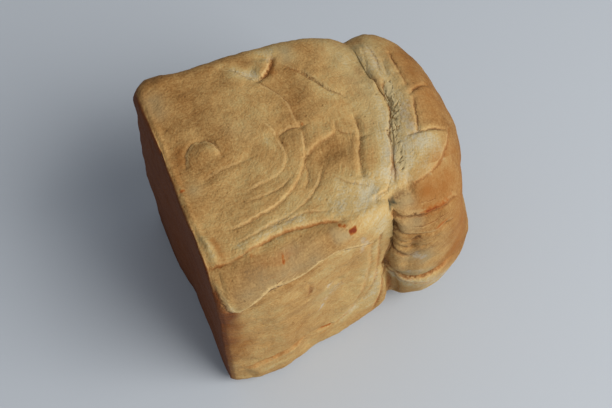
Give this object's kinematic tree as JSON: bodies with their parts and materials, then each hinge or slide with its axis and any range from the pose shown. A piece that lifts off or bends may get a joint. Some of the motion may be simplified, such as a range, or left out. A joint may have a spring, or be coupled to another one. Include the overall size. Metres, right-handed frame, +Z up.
{
  "type": "tin loaf",
  "caption": "Square loaf of white bread baked in a tin, lying on one side, with its domed crown risen past a torn seam and a dark baked bottom.",
  "frame": {"origin": "bottom centre of the bounding box, on the surface the loaf lies on", "axes": "+X from the loaf's baked bottom out through its risen crown, +Z up as the loaf lies on one of its sides, -Y the side with the folds"},
  "size_m": [0.1628, 0.1321, 0.1318],
  "materials": {
    "crust": "matte baked crust, golden tan, paler at the torn seam and dark brown on the bottom"
  },
  "bodies": {
    "root": {"loaf": "crust"}
  },
  "joints": []
}
